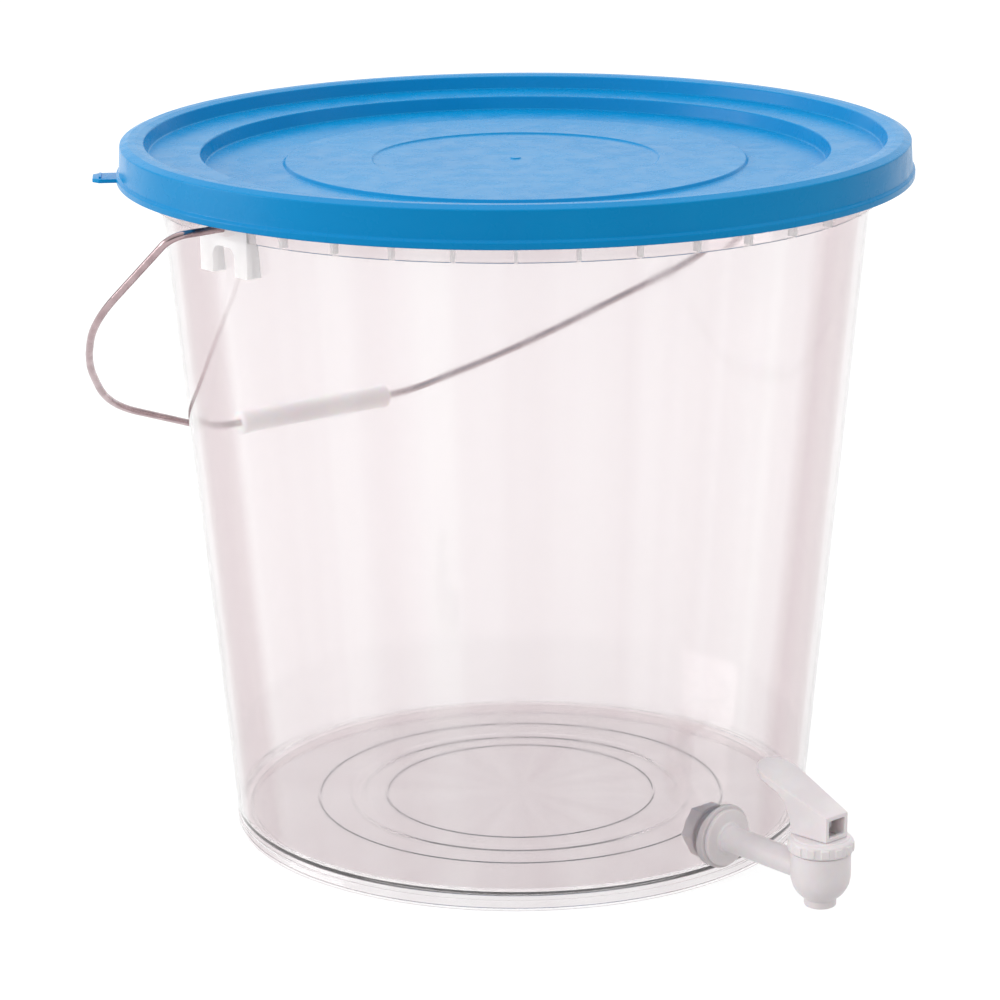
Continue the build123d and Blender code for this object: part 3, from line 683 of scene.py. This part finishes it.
def make_floor():
    """The white ground. It gives off light, and less of it to diffuse rays."""
    mesh = bpy.data.meshes.new("floor")
    half = FLOOR_HALF
    corners = [(-half, -half, 0), (half, -half, 0), (half, half, 0), (-half, half, 0)]
    mesh.from_pydata(corners, [], [(0, 1, 2, 3)])
    floor = bpy.data.objects.new("floor", mesh)
    bpy.context.scene.collection.objects.link(floor)
    material, shader = new_material("studio_floor", 0.9)
    shader.inputs["Base Color"].default_value = (0.24, 0.24, 0.24, 1)
    shader.inputs["Specular IOR Level"].default_value = 0.0
    shader.inputs["Emission Color"].default_value = (1, 1, 1, 1)
    path = add_node(material, "ShaderNodeLightPath")
    glow = add_node(material, "ShaderNodeMapRange")
    glow.inputs["To Min"].default_value = FLOOR_GLOW
    glow.inputs["To Max"].default_value = FLOOR_GLOW_DIFFUSE
    wire_up(material, (path.outputs["Is Diffuse Ray"], glow.inputs["Value"]),
            (glow.outputs["Result"], shader.inputs["Emission Strength"]))
    mesh.materials.append(material)


def make_world():
    """A soft studio: bright overhead, a large bright side on the left, darker behind the camera."""
    world = bpy.data.worlds.new("studio")
    bpy.context.scene.world = world
    world.use_nodes = True
    background = world.node_tree.nodes["Background"]
    background.inputs["Strength"].default_value = 1.0
    place = add_node(world, "ShaderNodeTexCoord")
    turned = add_node(world, "ShaderNodeMapping")
    turned.inputs["Rotation"].default_value = (0, 0, -CAMERA_AZIMUTH)
    parts = add_node(world, "ShaderNodeSeparateXYZ")
    around = add_node(world, "ShaderNodeMath", operation="ARCTAN2")
    wire_up(world, (place.outputs["Generated"], turned.inputs["Vector"]),
            (turned.outputs["Vector"], parts.inputs["Vector"]),
            (parts.outputs["Y"], around.inputs[0]), (parts.outputs["X"], around.inputs[1]))
    share = add_node(world, "ShaderNodeMapRange")
    share.inputs["From Min"].default_value = -math.pi
    share.inputs["From Max"].default_value = math.pi
    wire_up(world, (around.outputs["Value"], share.inputs["Value"]))
    # shares of the turn: 0 and 1 the left, 0.25 behind the camera, 0.5 the right, 0.75 the backdrop
    grey = [(0.0, 1.25), (0.10, 1.2), (0.17, 0.35), (0.25, 0.16), (0.33, 0.25), (0.42, 0.5),
            (0.54, 0.45), (0.60, 0.25), (0.68, 1.0), (0.82, 1.0), (0.9, 0.35), (0.94, 1.2)]
    sides = ramp(world, share.outputs["Result"], [(at, (level, level, level)) for at, level in grey])
    height = add_node(world, "ShaderNodeMapRange")
    height.inputs["From Min"].default_value = 0.35
    height.inputs["From Max"].default_value = 0.8
    wire_up(world, (parts.outputs["Z"], height.inputs["Value"]))
    mix = add_node(world, "ShaderNodeMix", data_type="RGBA")
    mix.inputs["B"].default_value = (1.0, 1.0, 1.0, 1)
    wire_up(world, (height.outputs["Result"], mix.inputs["Factor"]), (sides, mix.inputs["A"]),
            (mix.outputs["Result"], background.inputs["Color"]))


def area_light(name, azimuth, elevation, distance, size, power, mirrored=True, target=(0, 0, 0.17)):
    """A soft box at an azimuth turned from the camera's. Not mirrored: it shows in no reflection."""
    data = bpy.data.lights.new(name, "AREA")
    data.shape = "RECTANGLE"
    data.size, data.size_y = size
    data.energy = power
    light = bpy.data.objects.new(name, data)
    angle = CAMERA_AZIMUTH + math.radians(azimuth)
    rise = math.radians(elevation)
    place = Vector(target) + distance * Vector((math.sin(angle) * math.cos(rise),
                                                -math.cos(angle) * math.cos(rise), math.sin(rise)))
    look = (Vector(target) - place).to_track_quat("-Z", "Y")
    light.matrix_world = Matrix.Translation(place) @ look.to_matrix().to_4x4()
    light.visible_glossy = mirrored
    light.visible_transmission = mirrored
    light.visible_camera = False
    bpy.context.scene.collection.objects.link(light)


make_camera()
make_floor()
make_world()
area_light("key_left", -88, 14, 2.2, (1.2, 1.2), 16)
area_light("fill_right", 80, 20, 2.4, (1.0, 1.6), 3)
area_light("front", -15, 40, 2.6, (2.2, 1.6), 13, mirrored=False)
area_light("back", 165, 35, 2.2, (2.0, 1.2), 12, mirrored=False)
area_light("top", 180, 75, 2.0, (1.6, 1.6), 4)
make_bucket()
make_lid()
make_grip()
make_wire()
make_tap()
bpy.context.scene.view_settings.view_transform = "Standard"
